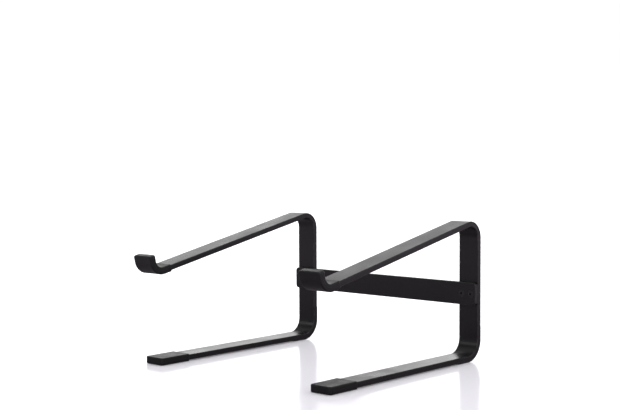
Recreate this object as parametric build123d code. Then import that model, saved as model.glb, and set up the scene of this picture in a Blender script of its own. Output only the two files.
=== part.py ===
from build123d import *

import math
import os

# Laptop stand: two bent flat-bar side frames, bolted together by one crossbar.
# Millimetres. +X is the user's right, +Y is to the rear, +Z is up. The origin is on the floor,
# half way between the two frames and half way from the hooks' front to the rear pads' back.

# Overall sizes
frame_span = 265.0          # outside of one side frame to outside of the other
overall_depth = 271.0       # front of the hooks to the back of the rear foot pads
stand_height = 154.0        # floor to the top of the upper bends

# Flat bar of the side frames
bar_width = 25.0
bar_thickness = 6.0
bar_edge_radius = 0.8       # rolled long edges
foot_length = 253.0         # front end of the foot bar to the rear face of the upright
foot_corner_radius = 2.3    # corners of the foot's front end, seen from above
heel_radius = 22.0          # outside of the bend between foot and upright
shoulder_radius = 19.0      # outside of the bend between upright and arm
arm_slope = 11.8            # degrees that the arm falls towards the user
hook_radius = 16.0          # outside of the bend between arm and lip
lip_rise = 16.0             # cradle surface of the hook sleeve to the top of the lip
lip_corner_radius = 1.5     # corners of the lip's end

# Rubber parts
rubber_wall = 1.2           # wall of caps and sleeves, thickness of the rear pads
cap_length = 40.0           # front foot cap, measured along the foot
cap_edge_radius = 1.3       # outer edges of the front foot cap
sleeve_reach = 27.0         # hook sleeve, from its front face back along the arm
sleeve_edge_radius = 1.2    # outer edges of the hook sleeve
pad_top = 40.0              # height of the rear pad's upper end above the floor
pad_toe = 20.0              # length of the rear pad under the foot, ahead of the bend
pad_corner_radius = 3.0
rim_radius = 0.4            # open rims of caps and sleeves, outline of the pads

# Crossbar
crossbar_height = 73.5      # centre line above the floor
crossbar_width = 25.0
crossbar_thickness = 5.0
crossbar_corner_radius = 4.0
crossbar_edge_radius = 0.8

# Countersunk hex-socket screws, two at each end of the crossbar
screw_spacing = 12.0
screw_diameter = 4.0
screw_length = 10.0         # overall, as countersunk screws are measured
screw_tip_chamfer = 0.5
head_diameter = 8.0
head_land = 0.3             # short straight rim of the head
head_recess = 0.1           # head's top below the face of the crossbar
socket_across_flats = 2.5
socket_depth = 1.4
socket_turn = 25.0          # degrees that each screw stopped further round than the last

# Clearances, all radial
head_clearance = 0.1        # rim of the head in the countersink's straight mouth
shank_clearance = 0.25      # shank in the crossbar's hole
thread_clearance = 0.03     # shank in the upright's tapped hole, threads left out

touch = 1e-4                # how near a face must be to count as meeting an edge
smooth_angle = 10.0         # degrees, below which two faces run into each other smoothly
cut_margin = 1.0            # how far a cutting tool runs past the face it starts from

# Derived sizes, all in the YZ plane of one side frame
half_bar = bar_thickness / 2
slope = math.radians(arm_slope)
along_arm = (-math.cos(slope), -math.sin(slope))      # towards the user, down the arm
off_arm = (-math.sin(slope), math.cos(slope))         # square to the arm, along the lip
rear_face = overall_depth / 2 - rubber_wall
front_face = rear_face - bar_thickness
frame_offset = frame_span / 2 - bar_width / 2
head_height = head_land + (head_diameter - screw_diameter) / 2


def step(start, direction, distance):
    """The point a distance from start in a direction of the YZ plane."""
    return (start[0] + distance * direction[0], start[1] + distance * direction[1])


def frame_points():
    """Corners of the side frame's centre line: foot end, heel, shoulder, hook and lip end."""
    foot = (rear_face - foot_length, rubber_wall + half_bar)
    heel = (rear_face - half_bar, rubber_wall + half_bar)
    turn = math.radians(90 + arm_slope) / 2
    shoulder_z = stand_height - shoulder_radius + (shoulder_radius - half_bar) * math.tan(turn)
    shoulder = (heel[0], shoulder_z)
    # The lip's front-most point is on the rounded edge of the sleeve's tip.
    ahead = half_bar + rubber_wall - sleeve_edge_radius
    above = half_bar + rubber_wall + lip_rise - sleeve_edge_radius
    tip_y = -overall_depth / 2 + sleeve_edge_radius
    hook_y = tip_y - ahead * along_arm[0] - above * off_arm[0]
    hook = step(shoulder, along_arm, (hook_y - shoulder[0]) / along_arm[0])
    lip = step(hook, off_arm, half_bar + lip_rise)
    return foot, heel, shoulder, hook, lip


def strip_along(points, radii, width, thickness):
    """A flat strip with square edges, swept along a centre line in the YZ plane."""
    corners = [(0, y, z) for y, z in points]
    line = FilletPolyline(*corners, radius=radii) if radii else Polyline(*corners)
    start = Plane(origin=line @ 0, x_dir=(1, 0, 0), z_dir=line % 0)
    return sweep(start * Rectangle(width, thickness), path=line)


def end_face(strip, point):
    """The end of a strip whose centre is at a point of the YZ plane."""
    return strip.faces().sort_by_distance((0, point[0], point[1]))[0]


def sharp_edges(shape):
    """Edges where two faces meet at a corner, without the seams between a bend and a flat."""
    faces = shape.faces()
    found = []
    for edge in shape.edges():
        middle = edge @ 0.5
        normals = [f.normal_at(middle) for f in faces if f.distance_to(middle) < touch]
        if normals[0].get_angle(normals[-1]) > smooth_angle:
            found.append(edge)
    return found


def round_end(strip, point, thickness, radius):
    """Rounds the two corners of one end, as seen square to the strip's broad face."""
    corners = [e for e in end_face(strip, point).edges() if abs(e.length - thickness) < touch]
    return fillet(corners, radius)


def round_outline(strip, radius, open_end=None):
    """Rounds every edge of a strip, but not those of an end that is left open."""
    rim = [] if open_end is None else [e.center() for e in end_face(strip, open_end).edges()]
    edges = [e for e in sharp_edges(strip) if all((e.center() - c).length > touch for c in rim)]
    return fillet(edges, radius)


def make_side_frame():
    """One flat bar bent into foot, upright, arm and hook, centred on X = 0."""
    points = frame_points()
    radii = [r - half_bar for r in (heel_radius, shoulder_radius, hook_radius)]
    bar = strip_along(points, radii, bar_width, bar_thickness)
    bar = round_end(bar, points[0], bar_thickness, foot_corner_radius)
    bar = round_end(bar, points[-1], bar_thickness, lip_corner_radius)
    bar = round_outline(bar, bar_edge_radius)
    radius = screw_diameter / 2 + thread_clearance
    for x in (-screw_spacing / 2, screw_spacing / 2):
        bar -= screw_axis(x) * Cylinder(radius, 2 * (crossbar_thickness + bar_thickness))
    return bar


def make_foot_cap(bar):
    """Closed rubber sleeve over the foot's front end, its cavity the bar's own shape."""
    foot = frame_points()[0]
    tip = (foot[0] - rubber_wall, foot[1])
    rim = (tip[0] + cap_length, foot[1])
    thickness = bar_thickness + 2 * rubber_wall
    cap = strip_along([rim, tip], [], bar_width + 2 * rubber_wall, thickness)
    cap = round_end(cap, tip, thickness, foot_corner_radius + rubber_wall)
    cap = round_outline(cap, cap_edge_radius, open_end=rim)
    cap = fillet(end_face(cap, rim).edges(), rim_radius)
    return cap - bar


def make_hook_sleeve(bar):
    """Closed rubber sleeve over the lip, the bend and the front of the arm."""
    hook, lip = frame_points()[3:]
    rim = step(hook, along_arm, half_bar + rubber_wall - sleeve_reach)
    tip = step(lip, off_arm, rubber_wall)
    thickness = bar_thickness + 2 * rubber_wall
    width = bar_width + 2 * rubber_wall
    sleeve = strip_along([rim, hook, tip], [hook_radius - half_bar], width, thickness)
    sleeve = round_end(sleeve, tip, thickness, lip_corner_radius + rubber_wall)
    sleeve = round_outline(sleeve, sleeve_edge_radius, open_end=rim)
    sleeve = fillet(end_face(sleeve, rim).edges(), rim_radius)
    return sleeve - bar


def make_foot_pad():
    """Rubber strip bonded round the outside of the heel, on the bar's flat width only."""
    centre = rubber_wall / 2
    top = (rear_face + centre, pad_top)
    corner = (rear_face + centre, centre)
    toe = (rear_face - heel_radius - pad_toe, centre)
    width = bar_width - 2 * bar_edge_radius
    pad = strip_along([top, corner, toe], [heel_radius + centre], width, rubber_wall)
    pad = round_end(pad, top, rubber_wall, pad_corner_radius)
    pad = round_end(pad, toe, rubber_wall, pad_corner_radius)
    return round_outline(pad, rim_radius)


def screw_axis(x):
    """Frame of a screw: its origin is on the crossbar's face and its Z runs to the rear."""
    face = front_face - crossbar_thickness
    return Plane(origin=(x, face, crossbar_height), x_dir=(1, 0, 0), z_dir=(0, 1, 0))


def upward(shape, start):
    """Moves a primitive that stands on Z = 0 up to its starting height."""
    return Pos(0, 0, start) * shape


def stack(radius, length, top_radius=None):
    """A cylinder, or a cone, that stands on Z = 0."""
    aligned = (Align.CENTER, Align.CENTER, Align.MIN)
    if top_radius is None:
        return Cylinder(radius, length, align=aligned)
    return Cone(radius, top_radius, length, align=aligned)


def make_screw():
    """Countersunk hex-socket screw with its head's top on Z = 0, pointing along Z."""
    shank = screw_diameter / 2
    head = head_diameter / 2
    shank_length = screw_length - head_height
    screw = stack(head, head_land)
    screw += upward(stack(head, head_height - head_land, shank), head_land)
    screw += upward(stack(shank, shank_length - screw_tip_chamfer), head_height)
    tip = stack(shank, screw_tip_chamfer, shank - screw_tip_chamfer)
    screw += upward(tip, screw_length - screw_tip_chamfer)
    hexagon = RegularPolygon(socket_across_flats / 2, 6, major_radius=False)
    screw -= extrude(hexagon, socket_depth)
    return screw


def make_countersink():
    """Cutter for one screw in the crossbar, seated on the head's own cone."""
    shank = screw_diameter / 2 + shank_clearance
    head = head_diameter / 2
    mouth = head_recess + head_land
    cutter = upward(stack(head + head_clearance, mouth + cut_margin), -cut_margin)
    cutter += upward(stack(head, head - shank, shank), mouth)
    cutter += stack(shank, crossbar_thickness + cut_margin)
    return cutter


def screw_places():
    """Name, X and turn of each screw, from the user's left to right."""
    names = ("left_outer", "left_inner", "right_inner", "right_outer")
    centres = (-frame_offset, -frame_offset, frame_offset, frame_offset)
    sides = (-1, 1, -1, 1)
    for i, (name, centre, side) in enumerate(zip(names, centres, sides)):
        yield name, centre + side * screw_spacing / 2, i * socket_turn


def make_crossbar():
    """Flat bar across the front of both uprights, its ends flush with their outer faces."""
    bar = Box(frame_span, crossbar_thickness, crossbar_width)
    bar = fillet(bar.edges().filter_by(Axis.Y), crossbar_corner_radius)
    bar = fillet(sharp_edges(bar), crossbar_edge_radius)
    bar = Pos(0, front_face - crossbar_thickness / 2, crossbar_height) * bar
    for _, x, _ in screw_places():
        bar -= screw_axis(x) * make_countersink()
    return bar


def make_parts():
    """Every piece of the stand in its place, by node name."""
    bar = make_side_frame()
    repeated = {
        "side_frame": bar,
        "front_foot_cap": make_foot_cap(bar),
        "rear_foot_pad": make_foot_pad(),
        "hook_sleeve": make_hook_sleeve(bar),
    }
    parts = {"crossbar": make_crossbar()}
    for side, x in (("left", -frame_offset), ("right", frame_offset)):
        for name, shape in repeated.items():
            parts[f"{name}_{side}"] = Pos(x, 0, 0) * shape
    for name, x, turn in screw_places():
        screw = Pos(0, 0, head_recess) * Rot(0, 0, turn) * make_screw()
        parts[f"crossbar_screw_{name}"] = screw_axis(x) * screw
    return parts


os.makedirs("parts", exist_ok=True)
for name, shape in make_parts().items():
    export_step(shape, f"parts/{name}.step")
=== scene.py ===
import math

import bmesh
import bpy
from mathutils import Matrix, Vector


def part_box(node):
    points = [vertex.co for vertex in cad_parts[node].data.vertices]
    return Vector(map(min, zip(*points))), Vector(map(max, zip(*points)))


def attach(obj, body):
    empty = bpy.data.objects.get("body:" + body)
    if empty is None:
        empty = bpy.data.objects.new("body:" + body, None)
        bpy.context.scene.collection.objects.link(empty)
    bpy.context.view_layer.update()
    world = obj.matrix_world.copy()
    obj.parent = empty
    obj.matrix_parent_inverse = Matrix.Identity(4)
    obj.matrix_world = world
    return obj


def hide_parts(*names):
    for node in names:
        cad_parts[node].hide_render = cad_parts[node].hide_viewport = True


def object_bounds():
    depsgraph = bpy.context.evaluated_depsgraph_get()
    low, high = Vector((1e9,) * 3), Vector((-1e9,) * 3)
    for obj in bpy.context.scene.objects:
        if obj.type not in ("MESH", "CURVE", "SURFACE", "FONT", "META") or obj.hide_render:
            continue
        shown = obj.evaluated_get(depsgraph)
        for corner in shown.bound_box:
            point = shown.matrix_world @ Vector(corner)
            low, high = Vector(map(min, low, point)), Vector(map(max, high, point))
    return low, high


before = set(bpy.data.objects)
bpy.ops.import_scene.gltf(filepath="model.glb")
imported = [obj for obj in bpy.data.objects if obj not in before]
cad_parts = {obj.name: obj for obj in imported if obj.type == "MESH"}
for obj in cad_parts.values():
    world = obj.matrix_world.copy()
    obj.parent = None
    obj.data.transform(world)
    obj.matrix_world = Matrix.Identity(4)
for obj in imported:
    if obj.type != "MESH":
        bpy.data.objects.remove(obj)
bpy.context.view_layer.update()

# Looks of a laptop stand: the powder-coated bars and the blackened screws keep their CAD shapes, and
# the moulded rubber parts are built here. Metres. +X is the user's right, +Y is to the rear, +Z is up.

SIDES = ("left", "right")

# Sizes that the rubber parts share with the bars
BAR_WIDTH = 0.025
BAR_THICKNESS = 0.006
BAR_CENTRE = BAR_THICKNESS / 2
BAR_EDGE = 0.0008           # rounding of the bar's long edges
HOOK_RADIUS = 0.016         # outside of the bar's bend at the hook
HEEL_RADIUS = 0.022         # outside of the bar's bend at the heel
FOOT_CORNER = 0.0023        # corners of the bar's end at the foot
LIP_CORNER = 0.0015         # corners of the bar's end at the lip
LIP_RISE = 0.016            # the lip's end above the cradle
ARM_SLOPE = math.radians(11.8)

# Sizes of the rubber parts
WALL = 0.0012
SKIN_GAP = 0.00002          # between the rubber and the bar inside it
CAP_EDGE = 0.0013           # rounding of the outer edges
SLEEVE_EDGE = 0.0012
PAD_EDGE = 0.0004
PAD_CORNER = 0.003
SLEEVE_REACH = 0.027        # from the hook's front face back to the sleeve's open end

# Details of the moulded rubber
SINK = 0.00016              # how far the skin lies inside its full size
SEAM_HEIGHT = 0.00012       # parting line, along the middle of the narrow walls
SEAM_WIDTH = 0.00035
BEAD_HEIGHT = 0.00022       # thicker rim at the open end
BEAD_LENGTH = 0.0016
BEAD_FLAT = 0.6             # share of the rim's length that has its full height
RIM_RADIUS = 0.0004         # rounding of the rim
RIM_KNEE = 0.3              # the rounding's middle point, as a share of its radius
RIM_END = 1.5 * RIM_RADIUS  # the outer skin's first ring is further than this from the open end
TIP_LENGTH = 0.004          # stretch before the closed tip where the walls stop sinking
SIDE_SHARE = 0.8            # points further out than this share of the half width are on a narrow wall
MOST_SINK = 0.5             # the most of its half size that a ring may sink

# Steps in the meshes
WIDTH_STEPS = 18            # across a broad wall
EDGE_STEPS = 6              # round an outer edge
CORNER_STEPS = 4            # along a corner, past its edge
SIDE_STEPS = (0, 0.12, 0.3, 0.65)       # up half a narrow wall, closest at the parting line
CAP_STEPS = 30              # along each part
SLEEVE_STEPS = 60
PAD_STEPS = 60
SAME_POINT = 1e-7
LEAST_EDGE = 1e-6


# ---------------------------------------------------------------- meshes

def smooth_step(low, high, value):
    t = min(max((value - low) / (high - low), 0.0), 1.0)
    return t * t * (3 - 2 * t)


def spaced(low, high, count):
    return [low + (high - low) * i / count for i in range(count + 1)]


class Spine:
    """A centre line in the YZ plane: one straight run, or two with a bend between them.

    Its points are (y, z). Face is 1 or -1, the side of the line that a section's height points to.
    """

    def __init__(self, start, corner, end, radius, face):
        self.start, corner, end = Vector(start), Vector(corner), Vector(end)
        self.into = (corner - self.start).normalized()
        out = (end - corner).normalized()
        turn = self.into.angle(out) if radius else 0.0
        cut = radius * math.tan(turn / 2)
        self.radius = radius
        self.face = face
        self.first = (corner - self.start).length - cut
        self.bend = radius * turn
        self.length = self.first + self.bend + (end - corner).length - cut
        turns_left = self.into.x * out.y > self.into.y * out.x
        self.side = Vector((-self.into.y, self.into.x)) * (1 if turns_left else -1)
        self.centre = self.start + self.into * self.first + self.side * radius

    def at(self, distance):
        """Place and direction at a distance along the line."""
        if distance <= self.first or not self.radius:
            return self.start + self.into * distance, self.into
        around = min(distance - self.first, self.bend)
        angle = around / self.radius
        place = (self.centre - self.side * self.radius * math.cos(angle)
                 + self.into * self.radius * math.sin(angle))
        direction = self.into * math.cos(angle) + self.side * math.sin(angle)
        return place + direction * (distance - self.first - around), direction


def ring(half_width, half_depth, edge):
    """A rounded rectangle of (across, through) points, with the same count for any size.

    Its first point and the one half way round are in the middle of the narrow walls.
    """
    edge = max(min(edge, half_depth, half_width), LEAST_EDGE)
    flat = half_width - edge
    near_side = [(-half_width, share * (half_depth - edge)) for share in SIDE_STEPS]
    for i in range(EDGE_STEPS + 1):
        angle = math.pi / 2 * i / EDGE_STEPS
        near_side.append((-flat - edge * math.cos(angle),
                          half_depth - edge + edge * math.sin(angle)))
    broad = [(x, half_depth) for x in spaced(-flat, flat, WIDTH_STEPS)[1:-1]]
    far_side = [(-x, z) for x, z in reversed(near_side)]
    upper = near_side + broad + far_side
    lower = [(x, -z) for x, z in reversed(upper[1:-1])]
    return upper + lower


def rounded(distance, radius):
    """How far an outline with rounded corners has come in, at a distance from its end."""
    if distance >= radius:
        return 0.0
    return radius - math.sqrt(max(radius ** 2 - (radius - distance) ** 2, 0.0))


def end_stations(corner, edge):
    """Distances from a rounded end, close together where it curves most."""
    near = [edge * (1 - math.cos(math.pi / 2 * i / EDGE_STEPS)) for i in range(EDGE_STEPS + 1)]
    far = [edge + (corner - edge) * i / CORNER_STEPS for i in range(1, CORNER_STEPS + 1)]
    return near + far


def rounded_ring(to_end, width, depth, edge, corner):
    """The section of a flat bar at a distance from its rounded end."""
    return ring(width / 2 - rounded(to_end, corner), depth / 2 - rounded(to_end, edge), edge)


def shell_rings(length, width, depth, edge, corner, steps):
    """(distance from the open end, section) along a bar with a rounded tip, tip last."""
    near_tip = end_stations(corner, edge)
    places = spaced(0.0, length - near_tip[-1], steps)[:-1]
    places += [length - d for d in reversed(near_tip)]
    return [(place, rounded_ring(length - place, width, depth, edge, corner)) for place in places]


def moulded(points, distance, length):
    """Gives a section its moulded shape, at a distance from the open end of a shell.

    The skin lies SINK inside its full size, and twice that in the middle of the broad walls. The rim
    at the open end stands above them, and the parting line above the narrow walls.
    """
    half_width = max(abs(x) for x, _ in points)
    half_depth = max(abs(z) for _, z in points)
    rim = BEAD_HEIGHT * (1 - smooth_step(BEAD_LENGTH * BEAD_FLAT, BEAD_LENGTH, distance))
    sunk = smooth_step(BEAD_LENGTH, 3 * BEAD_LENGTH, distance)
    sunk *= smooth_step(0.0, TIP_LENGTH, length - distance)
    shaped = []
    for x, z in points:
        middle = 1 - (abs(x) / half_width) ** 2
        if abs(z) > SAME_POINT:
            drop = SINK + SINK * sunk * middle - rim / 2
            z -= math.copysign(min(drop, half_depth * MOST_SINK), z)
        on_seam = abs(z) < SEAM_WIDTH / 2
        if abs(x) > half_width * SIDE_SHARE and not on_seam:
            x -= math.copysign(min(SEAM_HEIGHT, half_width * MOST_SINK), x)
        shaped.append((x, z))
    return shaped


def place_ring(spine, x_centre, distance, points):
    """A section's points in space, square to the line at that distance."""
    place, direction = spine.at(distance)
    up = Vector((-direction.y, direction.x)) * spine.face
    return [Vector((x_centre + x, place.x + z * up.x, place.y + z * up.y)) for x, z in points]


def add_rings(mesh, rings):
    """Adds rings of vertices, each joined to the next with quads."""
    rows = [[mesh.verts.new(point) for point in points] for points in rings]
    count = len(rows[0])
    for low, high in zip(rows, rows[1:]):
        for i in range(count):
            j = (i + 1) % count
            mesh.faces.new((low[i], low[j], high[j], high[i]))
    return rows


def close_end(mesh, row):
    """Fills an end ring with faces from its upper half to its lower half, which mirror each other."""
    count = len(row)
    for i in range(count // 2):
        corners = []
        for vertex in (row[i], row[i + 1], row[count - i - 1], row[(count - i) % count]):
            if vertex not in corners:
                corners.append(vertex)
        mesh.faces.new(corners)


def closed_loft(name, material, spine, x_centre, sections):
    """A smooth closed piece through (distance, section) pairs along a line."""
    mesh = bmesh.new()
    rows = add_rings(mesh, [place_ring(spine, x_centre, d, points) for d, points in sections])
    close_end(mesh, rows[0])
    close_end(mesh, rows[-1])
    bmesh.ops.remove_doubles(mesh, verts=mesh.verts, dist=SAME_POINT)
    bmesh.ops.recalc_face_normals(mesh, faces=mesh.faces)
    data = bpy.data.meshes.new(name)
    mesh.to_mesh(data)
    mesh.free()
    data.polygons.foreach_set("use_smooth", [True] * len(data.polygons))
    data.materials.append(material)
    piece = bpy.data.objects.new(name, data)
    bpy.context.scene.collection.objects.link(piece)
    return piece


def rubber_shell(name, material, spine, x_centre, edge, corner, steps):
    """A closed rubber sleeve over the end of a bar: outer skin, rim and the cavity behind it."""
    width, depth = BAR_WIDTH + 2 * WALL, BAR_THICKNESS + 2 * WALL
    outer = shell_rings(spine.length, width, depth, edge, corner, steps)
    inner = shell_rings(spine.length - WALL, BAR_WIDTH + 2 * SKIN_GAP, BAR_THICKNESS + 2 * SKIN_GAP,
                        BAR_EDGE, corner - WALL, steps)
    # From the inner tip out to the rim, round it, and along the outside to the outer tip
    sections = inner[::-1]
    sections.append((0.0, ring((width - WALL) / 2, (depth - WALL) / 2, edge - WALL / 2)))
    knee = RIM_RADIUS * RIM_KNEE
    for back, drop in ((0.0, RIM_RADIUS), (knee, knee), (RIM_RADIUS, 0.0)):
        points = ring(width / 2 - drop, depth / 2 - drop, edge - drop)
        sections.append((back, moulded(points, back, spine.length)))
    for place, points in outer:
        if place > RIM_END:
            sections.append((place, moulded(points, place, spine.length)))
    return closed_loft(name, material, spine, x_centre, sections)


def rubber_strip(name, material, spine, x_centre, width, depth, edge, corner, steps):
    """A closed strip of rubber sheet that follows a line, both its ends rounded."""
    near = end_stations(corner, edge)
    far = [spine.length - d for d in reversed(near)]
    places = near + spaced(near[-1], far[0], steps)[1:-1] + far
    sections = []
    for place in places:
        to_end = min(place, spine.length - place)
        sections.append((place, rounded_ring(to_end, width, depth, edge, corner)))
    return closed_loft(name, material, spine, x_centre, sections)


# ---------------------------------------------------------------- materials

# Colours, as linear red, green and blue
COAT_DARK = (0.0048, 0.0040, 0.0050)
COAT_LIGHT = (0.0078, 0.0066, 0.0080)
COAT_WORN = (0.060, 0.058, 0.058)
COAT_LINT = (0.11, 0.105, 0.10)
RUBBER_DARK = (0.0042, 0.0038, 0.0045)
RUBBER_LIGHT = (0.0080, 0.0073, 0.0083)
RUBBER_DUST = (0.12, 0.115, 0.11)
OXIDE_DARK = (0.018, 0.018, 0.020)
OXIDE_LIGHT = (0.040, 0.039, 0.040)
OXIDE_RUBBED = (0.22, 0.215, 0.21)
FLOOR_WHITE = (0.89, 0.875, 0.93)
FLOOR_LIGHT = (0.905, 0.89, 0.945)
FLOOR_GLOW = (0.98, 0.96, 1.0)
# painted glow that glossy surfaces see in place of the floor, dimmed near the object as painted shade
FLOOR_GLOSS_GLOW = (1.0, 0.88, 1.03)

# The range that most of a noise's values are in
CLOUDY = (0.3, 0.7)


class Nodes:
    """A new material, with short names for building its nodes."""

    def __init__(self, name):
        self.material = bpy.data.materials.new(name)
        self.material.use_nodes = True
        self.tree = self.material.node_tree
        self.shader = self.tree.nodes["Principled BSDF"]
        self.place = self.add("TexCoord").outputs["Object"]
        self.normal = self.add("NewGeometry").outputs["Normal"]

    def add(self, kind):
        return self.tree.nodes.new("ShaderNode" + kind)

    def feed(self, socket, value):
        """Links a socket to another, or gives it a number or a colour of its own."""
        if isinstance(value, bpy.types.NodeSocket):
            self.tree.links.new(value, socket)
        elif socket.type == "RGBA":
            socket.default_value = (*value, 1)
        else:
            socket.default_value = value

    def set(self, **values):
        """Feeds the shader's sockets, named with _ for a space."""
        for name, value in values.items():
            self.feed(self.shader.inputs[name.replace("_", " ")], value)

    def maths(self, operation, *values):
        node = self.add("Math")
        node.operation = operation
        for socket, value in zip(node.inputs, values):
            self.feed(socket, value)
        return node.outputs[0]

    def times(self, first, second):
        return self.maths("MULTIPLY", first, second)

    def plus(self, first, second):
        return self.maths("ADD", first, second)

    def between(self, value, low, high, to_low=0.0, to_high=1.0):
        """A smooth ramp from to_low at low to to_high at high."""
        node = self.add("MapRange")
        node.interpolation_type = "SMOOTHSTEP"
        for name, v in (("Value", value), ("From Min", low), ("From Max", high),
                        ("To Min", to_low), ("To Max", to_high)):
            self.feed(node.inputs[name], v)
        return node.outputs["Result"]

    def noise(self, size, detail=2.0, rough=0.5, stretch=None):
        """Noise from 0 to 1 whose lumps are about size metres across."""
        node = self.add("TexNoise")
        node.inputs["Scale"].default_value = 1.0 / size
        node.inputs["Detail"].default_value = detail
        node.inputs["Roughness"].default_value = rough
        vector = self.place
        if stretch:
            mapping = self.add("Mapping")
            mapping.inputs["Scale"].default_value = stretch
            self.feed(mapping.inputs["Vector"], vector)
            vector = mapping.outputs[0]
        self.feed(node.inputs["Vector"], vector)
        return node.outputs["Fac"]

    def patches(self, low, high, **noise):
        """Patches of 1 where the noise is over high, and 0 where it is under low."""
        return self.between(self.noise(**noise), low, high)

    def spots(self, spacing):
        """Distance from scattered points, 0 at each of them."""
        node = self.add("TexVoronoi")
        node.inputs["Scale"].default_value = 1.0 / spacing
        self.feed(node.inputs["Vector"], self.place)
        return node.outputs["Distance"]

    def specks(self, spacing, solid, faded):
        """Scattered specks of 1, solid to one share of the spacing and faded out at the other."""
        return self.between(self.spots(spacing), solid, faded, 1.0, 0.0)

    def blend(self, factor, first, second):
        """Mixes two colours."""
        node = self.add("Mix")
        node.data_type = "RGBA"
        self.feed(node.inputs["Factor"], factor)
        colours = [socket for socket in node.inputs if socket.type == "RGBA"]
        self.feed(colours[0], first)
        self.feed(colours[1], second)
        return next(socket for socket in node.outputs if socket.type == "RGBA")

    def axis(self, vector, index):
        node = self.add("SeparateXYZ")
        self.feed(node.inputs[0], vector)
        return node.outputs[index]

    def facing(self, index):
        """How squarely a surface faces along an axis, either way."""
        return self.maths("ABSOLUTE", self.axis(self.normal, index))

    def bump(self, height, distance, strength, before=None):
        """Bumps of a height in metres, on top of others."""
        node = self.add("Bump")
        node.inputs["Distance"].default_value = distance
        node.inputs["Strength"].default_value = strength
        self.feed(node.inputs["Height"], height)
        if before is not None:
            self.feed(node.inputs["Normal"], before)
        return node.outputs[0]


def frame_edges(n):
    """1 on the rounded long edges of a bent bar, whose faces are all square or parallel to X."""
    across = n.facing(0)
    rising = n.between(across, 0.15, 0.6)
    falling = n.between(across, 0.86, 0.99, 1.0, 0.0)
    return n.times(rising, falling)


def box_edges(n):
    """1 on the rounded edges of a straight bar whose faces are square to the axes."""
    squarest = n.maths("MAXIMUM", n.maths("MAXIMUM", n.facing(0), n.facing(1)), n.facing(2))
    return n.between(squarest, 0.80, 0.97, 1.0, 0.0)


def powder_coat(name, edge_mask):
    """Satin black powder coat: fine orange peel, cloudy gloss, lint and thinly rubbed edges."""
    n = Nodes(name)
    cloud = n.noise(size=0.035, detail=3.0)
    peel = n.noise(size=0.0011)
    grain = n.noise(size=0.00032, detail=1.0)
    specks = n.specks(spacing=0.0042, solid=0.035, faded=0.06)
    lint = n.times(specks, n.patches(0.52, 0.7, size=0.02))
    rubbed = n.times(edge_mask(n), n.patches(0.42, 0.66, size=0.006, detail=4.0))
    base = n.blend(cloud, COAT_DARK, COAT_LIGHT)
    worn = n.blend(n.times(rubbed, 0.55), base, COAT_WORN)
    dusty = n.blend(n.times(lint, 0.35), worn, COAT_LINT)
    roughness = n.between(cloud, *CLOUDY, 0.23, 0.31)
    roughness = n.plus(roughness, n.times(grain, 0.06))
    roughness = n.plus(roughness, n.times(rubbed, -0.06))
    bump = n.bump(peel, distance=0.00009, strength=0.55)
    bump = n.bump(grain, distance=0.00003, strength=0.6, before=bump)
    bump = n.bump(specks, distance=0.00006, strength=0.35, before=bump)
    n.set(Base_Color=dusty, Roughness=roughness, Normal=bump, Specular_IOR_Level=0.28, IOR=1.5)
    return n.material


def rubber(name, shade, dust, stipple, roughness, specular):
    """Matt moulded rubber: fine stipple, cloudy colour and gloss, dust on upward faces.

    Shade scales its colours, dust is how strongly that shows, and stipple is the grain's size.
    """
    n = Nodes(name)
    cloud = n.noise(size=0.012, detail=4.0, rough=0.6)
    grain = n.noise(size=stipple)
    pits = n.spots(stipple * 1.9)
    upward = n.between(n.axis(n.normal, 2), 0.2, 0.95)
    film = n.times(upward, n.patches(0.38, 0.75, size=0.007, detail=5.0, rough=0.65))
    specks = n.specks(spacing=0.0031, solid=0.04, faded=0.075)
    dusting = n.maths("MAXIMUM", n.times(film, dust), n.times(specks, dust * 0.7))
    dark = [c * shade for c in RUBBER_DARK]
    light = [c * shade for c in RUBBER_LIGHT]
    colour = n.blend(dusting, n.blend(cloud, dark, light), RUBBER_DUST)
    rough = n.between(cloud, *CLOUDY, roughness - 0.05, roughness + 0.06)
    rough = n.plus(rough, n.times(film, 0.08))
    bump = n.bump(grain, distance=0.00010, strength=0.6)
    bump = n.bump(pits, distance=0.00005, strength=0.45, before=bump)
    n.set(Base_Color=colour, Roughness=rough, Normal=bump, Specular_IOR_Level=specular)
    return n.material


def black_oxide(name):
    """Blackened steel screw: dark and slightly oily, brighter in small rubbed patches."""
    n = Nodes(name)
    cloud = n.noise(size=0.0016, detail=4.0)
    turned = n.noise(size=0.0004, detail=1.0, stretch=(1.0, 0.25, 1.0))
    rubbed = n.patches(0.55, 0.72, size=0.0009, detail=5.0, rough=0.7)
    base = n.blend(cloud, OXIDE_DARK, OXIDE_LIGHT)
    colour = n.blend(n.times(rubbed, 0.6), base, OXIDE_RUBBED)
    bump = n.bump(turned, distance=0.00003, strength=0.5)
    n.set(Base_Color=colour, Roughness=n.between(cloud, *CLOUDY, 0.26, 0.42), Normal=bump,
          Metallic=0.8)
    return n.material


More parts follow.
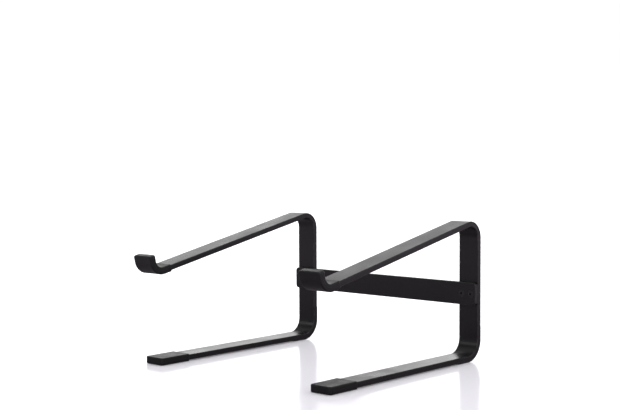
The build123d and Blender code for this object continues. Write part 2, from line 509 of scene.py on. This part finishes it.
def floor_material():
    """White acrylic sheet: glossy enough for a soft reflection, nearly even in colour.

    In other surfaces' gloss it is a painted glow: darker, and darkest near the object as painted
    shade.
    """
    n = Nodes("studio_floor")
    cloud = n.noise(size=0.9)
    n.set(Base_Color=n.blend(cloud, FLOOR_WHITE, FLOOR_LIGHT),
          Roughness=n.between(cloud, 0.2, 0.8, 0.13, 0.16),
          Emission_Color=FLOOR_GLOW, Emission_Strength=0.11, IOR=1.5)
    away = n.add("VectorMath")
    away.operation = "LENGTH"
    n.feed(away.inputs[0], n.place)
    # Painted shade: glossy rays see a glow in the floor's place, dimmer close to the object
    mirrored = n.add("Emission")
    near, far = 0.12, 1.0
    dim, bright = 0.26, 0.80
    n.feed(mirrored.inputs["Color"], FLOOR_GLOSS_GLOW)
    n.feed(mirrored.inputs["Strength"], n.between(away.outputs["Value"], near, far, dim, bright))
    mix = n.add("MixShader")
    n.feed(mix.inputs[0], n.add("LightPath").outputs["Is Glossy Ray"])
    n.feed(mix.inputs[1], n.shader.outputs[0])
    n.feed(mix.inputs[2], mirrored.outputs[0])
    n.feed(n.tree.nodes["Material Output"].inputs["Surface"], mix.outputs[0])
    return n.material


# ---------------------------------------------------------------- object

coat = powder_coat("powder_coat_frames", frame_edges)
coat_bar = powder_coat("powder_coat_crossbar", box_edges)
oxide = black_oxide("screw_black_oxide")
cap_rubber = rubber("cap_rubber_moulded", shade=0.9, dust=0.08, stipple=0.00040,
                    roughness=0.40, specular=0.19)
sleeve_rubber = rubber("sleeve_rubber_moulded", shade=0.8, dust=0.05, stipple=0.00045,
                       roughness=0.38, specular=0.24)
pad_rubber = rubber("pad_rubber_sheet", shade=0.9, dust=0.04, stipple=0.00060,
                    roughness=0.62, specular=0.30)


def dress(node, material):
    """Gives every material slot of a CAD node the same new material."""
    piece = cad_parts[node]
    if not piece.material_slots:
        piece.data.materials.append(material)
    for slot in piece.material_slots:
        slot.material = material


def middle_x(node):
    low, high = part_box(node)
    return (low.x + high.x) / 2


def stand_for(piece, node):
    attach(piece, "root")
    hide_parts(node)


def foot_cap(side):
    """A straight sleeve over the front end of a foot, open to the rear."""
    node = f"front_foot_cap_{side}"
    low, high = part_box(node)
    height = (low.z + high.z) / 2
    middle = ((low.y + high.y) / 2, height)
    spine = Spine((high.y, height), middle, (low.y, height), radius=0.0, face=-1)
    piece = rubber_shell(f"moulded_foot_cap_{side}", cap_rubber, spine, middle_x(node),
                         CAP_EDGE, FOOT_CORNER + WALL, CAP_STEPS)
    stand_for(piece, node)


def hook_sleeve(side):
    """A sleeve over the arm's front end, the hook's bend and the lip, open to the rear.

    The hook's corner, where the centre lines of the arm and the lip would meet, is found from the
    lowest and the foremost points of the sleeve, which are on the bend and at the lip's top.
    """
    node = f"hook_sleeve_{side}"
    low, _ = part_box(node)
    along = Vector((-math.cos(ARM_SLOPE), -math.sin(ARM_SLOPE)))
    off = Vector((-math.sin(ARM_SLOPE), math.cos(ARM_SLOPE)))
    bend = HOOK_RADIUS - BAR_CENTRE
    ahead = BAR_CENTRE + WALL - SLEEVE_EDGE
    above = BAR_CENTRE + WALL + LIP_RISE - SLEEVE_EDGE
    corner_y = low.y + SLEEVE_EDGE - ahead * along.x - above * off.x
    corner_z = low.z + HOOK_RADIUS + WALL + bend * (along.y - off.y)
    corner = Vector((corner_y, corner_z))
    start = corner + along * (BAR_CENTRE + WALL - SLEEVE_REACH)
    tip = corner + off * (BAR_CENTRE + LIP_RISE + WALL)
    spine = Spine(start, corner, tip, bend, face=-1)
    piece = rubber_shell(f"moulded_hook_sleeve_{side}", sleeve_rubber, spine, middle_x(node),
                         SLEEVE_EDGE, LIP_CORNER + WALL, SLEEVE_STEPS)
    stand_for(piece, node)


def foot_pad(side):
    """A strip of rubber bonded round the outside of a heel."""
    node = f"rear_foot_pad_{side}"
    low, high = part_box(node)
    back, under = high.y - WALL / 2, low.z + WALL / 2
    spine = Spine((back, high.z), (back, under), (low.y, under), HEEL_RADIUS + WALL / 2, face=1)
    piece = rubber_strip(f"bonded_foot_pad_{side}", pad_rubber, spine, middle_x(node),
                         high.x - low.x, WALL, PAD_EDGE, PAD_CORNER, PAD_STEPS)
    stand_for(piece, node)


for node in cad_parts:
    if node.startswith("side_frame"):
        dress(node, coat)
    elif node.startswith("crossbar_screw"):
        dress(node, oxide)
    elif node == "crossbar":
        dress(node, coat_bar)

for make in (foot_cap, hook_sleeve, foot_pad):
    for side in SIDES:
        make(side)

# ---------------------------------------------------------------- studio

# Camera: where it stands from the object's origin, and how it is turned
CAMERA_PLACE = Vector((0.91530, -1.02265, 0.24816))
CAMERA_AZIMUTH = math.radians(41.79)
CAMERA_PITCH = math.radians(3.16)
CAMERA_ROLL = math.radians(-0.24)
CAMERA_LENS = 73.56
CAMERA_SENSOR = 36.0

FLOOR_REACH = 12.0
FLOOR_GAP = 0.0001          # below the feet

# Brightness of the studio as it is seen, and as glossy surfaces mirror it
PLAIN_LIGHT = 1.02
WALL_GLOSS = 1.85
CEILING_GLOSS = 1.1
SIDE_GLOSS = 0.06

# The mirrored studio has two walls, on either side of the object, and this points to the rear one.
# A wall fades in with how squarely it is faced, and out with height, where the ceiling fades in.
WALL_TOWARDS = (-math.sin(CAMERA_AZIMUTH), math.cos(CAMERA_AZIMUTH), 0.0)
WALL_SPREAD = (0.10, 0.85)
WALL_TOP = (0.30, 0.62)
CEILING_START = (0.60, 0.95)


def make_floor():
    reach = FLOOR_REACH
    corners = [(-reach, -reach, 0), (reach, -reach, 0), (reach, reach, 0), (-reach, reach, 0)]
    data = bpy.data.meshes.new("studio_floor")
    data.from_pydata(corners, [], [(0, 1, 2, 3)])
    data.materials.append(floor_material())
    floor = bpy.data.objects.new("studio_floor", data)
    floor.location.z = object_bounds()[0].z - FLOOR_GAP
    bpy.context.scene.collection.objects.link(floor)


def make_camera():
    azimuth, pitch, roll = CAMERA_AZIMUTH, CAMERA_PITCH, CAMERA_ROLL
    forward = Vector((-math.sin(azimuth) * math.cos(pitch), math.cos(azimuth) * math.cos(pitch),
                      -math.sin(pitch)))
    right = Vector((math.cos(azimuth), math.sin(azimuth), 0.0))
    up = right.cross(forward)
    turned_right = right * math.cos(roll) + up * math.sin(roll)
    turned_up = up * math.cos(roll) - right * math.sin(roll)
    data = bpy.data.cameras.new("camera")
    data.sensor_fit = "HORIZONTAL"
    data.sensor_width = CAMERA_SENSOR
    data.lens = CAMERA_LENS
    data.clip_start = 0.01
    data.clip_end = 100.0
    camera = bpy.data.objects.new("camera", data)
    turn = Matrix((turned_right, turned_up, -forward)).transposed()
    camera.matrix_world = Matrix.Translation(CAMERA_PLACE) @ turn.to_4x4()
    bpy.context.scene.collection.objects.link(camera)
    bpy.context.scene.camera = camera


def make_world():
    """White all round; in gloss, a bright wall before and behind, a bright ceiling and dim sides."""
    world = bpy.data.worlds.new("studio")
    world.use_nodes = True
    tree = world.node_tree
    tree.nodes.clear()

    def add(kind, operation=None):
        node = tree.nodes.new("ShaderNode" + kind)
        if operation:
            node.operation = operation
        return node

    def combine(operation, *values):
        node = add("Math", operation)
        for socket, value in zip(node.inputs, values):
            tree.links.new(value, socket)
        return node.outputs[0]

    def ramp(value, low, high, to_low, to_high):
        node = add("MapRange")
        node.interpolation_type = "SMOOTHSTEP"
        for name, v in (("From Min", low), ("From Max", high),
                        ("To Min", to_low), ("To Max", to_high)):
            node.inputs[name].default_value = v
        tree.links.new(value, node.inputs["Value"])
        return node.outputs["Result"]

    where = add("TexCoord").outputs["Generated"]
    towards = add("VectorMath", "DOT_PRODUCT")
    towards.inputs[1].default_value = WALL_TOWARDS
    tree.links.new(where, towards.inputs[0])
    axes = add("SeparateXYZ")
    tree.links.new(where, axes.inputs[0])
    height = axes.outputs["Z"]
    wall = ramp(combine("ABSOLUTE", towards.outputs["Value"]), *WALL_SPREAD, 0.0, WALL_GLOSS)
    low_down = ramp(height, *WALL_TOP, 1.0, 0.0)
    ceiling = ramp(height, *CEILING_START, SIDE_GLOSS, CEILING_GLOSS)
    gloss = add("Background")
    strength = combine("ADD", combine("MULTIPLY", wall, low_down), ceiling)
    tree.links.new(strength, gloss.inputs["Strength"])
    plain = add("Background")
    plain.inputs["Strength"].default_value = PLAIN_LIGHT
    for shade in (gloss, plain):
        shade.inputs["Color"].default_value = (1.0, 1.0, 1.0, 1)
    mix = add("MixShader")
    tree.links.new(add("LightPath").outputs["Is Glossy Ray"], mix.inputs[0])
    tree.links.new(plain.outputs[0], mix.inputs[1])
    tree.links.new(gloss.outputs[0], mix.inputs[2])
    tree.links.new(mix.outputs[0], add("OutputWorld").inputs["Surface"])
    bpy.context.scene.world = world


def softbox(name, place, target, size, watts):
    light = bpy.data.lights.new(name, "AREA")
    light.shape = "RECTANGLE"
    light.size, light.size_y = size
    light.energy = watts
    lamp = bpy.data.objects.new(name, light)
    lamp.location = place
    lamp.rotation_euler = (Vector(target) - Vector(place)).to_track_quat("-Z", "Y").to_euler()
    bpy.context.scene.collection.objects.link(lamp)


make_floor()
make_camera()
make_world()
softbox("overhead", place=(-0.3, 0.9, 1.9), target=(0, 0, 0), size=(1.4, 0.9), watts=8)
softbox("front_fill", place=(-1.5, -1.45, 0.95), target=(0, 0, 0.1), size=(1.5, 0.6), watts=5)
softbox("rear_edge", place=(1.5, 1.3, 0.9), target=(0, 0, 0.1), size=(0.6, 0.9), watts=5)
bpy.context.scene.view_settings.view_transform = "Standard"
